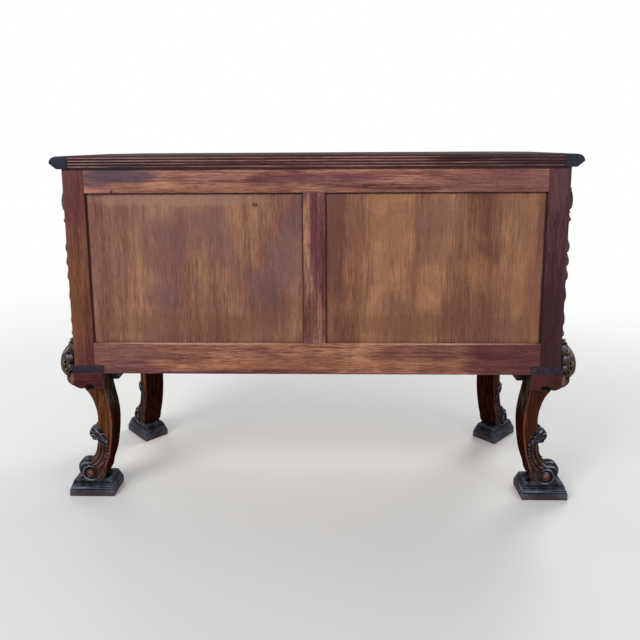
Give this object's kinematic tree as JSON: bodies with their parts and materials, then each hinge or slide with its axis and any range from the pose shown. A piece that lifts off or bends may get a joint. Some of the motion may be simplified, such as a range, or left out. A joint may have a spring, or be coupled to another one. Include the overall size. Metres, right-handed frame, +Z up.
{
  "type": "commode",
  "caption": "Antique-style commode: long drawers with bail handles, canted carved corners, framed and panelled back, carved scroll legs on moulded plinths.",
  "frame": {"origin": "on the floor, under the middle of the top", "axes": "+Z up, +X along the width to the right as seen from the front, +Y to the back; the drawers open towards -Y"},
  "size_m": [1.2432, 0.43, 0.834],
  "materials": {
    "top_wood": "dark varnish, satin",
    "moulding": "near-black varnish, satin",
    "frame_wood": "stained mahogany, satin",
    "panel_wood": "vertical mahogany veneer, satin",
    "side_wood": "mahogany veneer, satin",
    "carved_wood": "dark carved mahogany, satin",
    "base_wood": "near-black varnish, satin",
    "front_rail_wood": "dark mahogany, satin",
    "inner_wood": "plain secondary wood, dry",
    "block_wood": "reddish mahogany, satin",
    "leg_wood": "carved mahogany, varnished",
    "plinth_wood": "near-black varnish, worn edges",
    "drawer_front_wood": "figured mahogany veneer, satin",
    "drawer_box_wood": "plain secondary wood, dry",
    "brass": "aged brass"
  },
  "bodies": {
    "carcass": {"top_core": "top_wood", "top_moulding_front": "moulding", "top_moulding_left": "moulding", "top_moulding_right": "moulding", "top_moulding_corners": "moulding", "back_stile_left": "frame_wood", "back_stile_right": "frame_wood", "back_top_rail": "frame_wood", "back_bottom_rail": "frame_wood", "back_muntin": "frame_wood", "back_panel_left": "panel_wood", "back_panel_right": "panel_wood", "side_board_left": "side_wood", "side_board_right": "side_wood", "corner_post_left": "carved_wood", "corner_post_right": "carved_wood", "rear_carving_left": "carved_wood", "rear_carving_right": "carved_wood", "base_rail_left": "base_wood", "base_rail_right": "base_wood", "base_rail_front": "base_wood", "head_rail": "front_rail_wood", "rail_upper": "front_rail_wood", "rail_lower": "front_rail_wood", "drawer_runners": "inner_wood", "drawer_stops": "inner_wood", "glue_blocks": "inner_wood", "leg_block_rear_left": "block_wood", "leg_block_rear_right": "block_wood", "leg_block_front_left": "block_wood", "leg_block_front_right": "block_wood", "leg_rear_left": "leg_wood", "leg_rear_right": "leg_wood", "leg_front_left": "leg_wood", "leg_front_right": "leg_wood", "plinth_rear_left": "plinth_wood", "plinth_rear_right": "plinth_wood", "plinth_front_left": "plinth_wood", "plinth_front_right": "plinth_wood"},
    "drawer_1": {"drawer_1_front": "drawer_front_wood", "drawer_1_sides": "drawer_box_wood", "drawer_1_back": "drawer_box_wood", "drawer_1_bottom": "drawer_box_wood", "drawer_1_plates": "brass"},
    "bail_1_left": {"bail_1_left": "brass"},
    "bail_1_right": {"bail_1_right": "brass"},
    "drawer_2": {"drawer_2_front": "drawer_front_wood", "drawer_2_sides": "drawer_box_wood", "drawer_2_back": "drawer_box_wood", "drawer_2_bottom": "drawer_box_wood", "drawer_2_plates": "brass"},
    "bail_2_left": {"bail_2_left": "brass"},
    "bail_2_right": {"bail_2_right": "brass"},
    "drawer_3": {"drawer_3_front": "drawer_front_wood", "drawer_3_sides": "drawer_box_wood", "drawer_3_back": "drawer_box_wood", "drawer_3_bottom": "drawer_box_wood", "drawer_3_plates": "brass"},
    "bail_3_left": {"bail_3_left": "brass"},
    "bail_3_right": {"bail_3_right": "brass"}
  },
  "joints": [
    {"name": "drawer_1_slide", "type": "slide", "parent": "carcass", "child": "drawer_1", "axis": [0, -1, 0], "range_m": [0, 0.28]},
    {"name": "bail_1_left_swing", "type": "hinge", "parent": "drawer_1", "child": "bail_1_left", "pos_m": [-0.265, -0.204, 0.72383], "axis": [-1, 0, 0], "range_deg": [0, 90]},
    {"name": "bail_1_right_swing", "type": "hinge", "parent": "drawer_1", "child": "bail_1_right", "pos_m": [0.265, -0.204, 0.72383], "axis": [-1, 0, 0], "range_deg": [0, 90]},
    {"name": "drawer_2_slide", "type": "slide", "parent": "carcass", "child": "drawer_2", "axis": [0, -1, 0], "range_m": [0, 0.28]},
    {"name": "bail_2_left_swing", "type": "hinge", "parent": "drawer_2", "child": "bail_2_left", "pos_m": [-0.265, -0.204, 0.5695], "axis": [-1, 0, 0], "range_deg": [0, 90]},
    {"name": "bail_2_right_swing", "type": "hinge", "parent": "drawer_2", "child": "bail_2_right", "pos_m": [0.265, -0.204, 0.5695], "axis": [-1, 0, 0], "range_deg": [0, 90]},
    {"name": "drawer_3_slide", "type": "slide", "parent": "carcass", "child": "drawer_3", "axis": [0, -1, 0], "range_m": [0, 0.28]},
    {"name": "bail_3_left_swing", "type": "hinge", "parent": "drawer_3", "child": "bail_3_left", "pos_m": [-0.265, -0.204, 0.41517], "axis": [-1, 0, 0], "range_deg": [0, 90]},
    {"name": "bail_3_right_swing", "type": "hinge", "parent": "drawer_3", "child": "bail_3_right", "pos_m": [0.265, -0.204, 0.41517], "axis": [-1, 0, 0], "range_deg": [0, 90]}
  ]
}
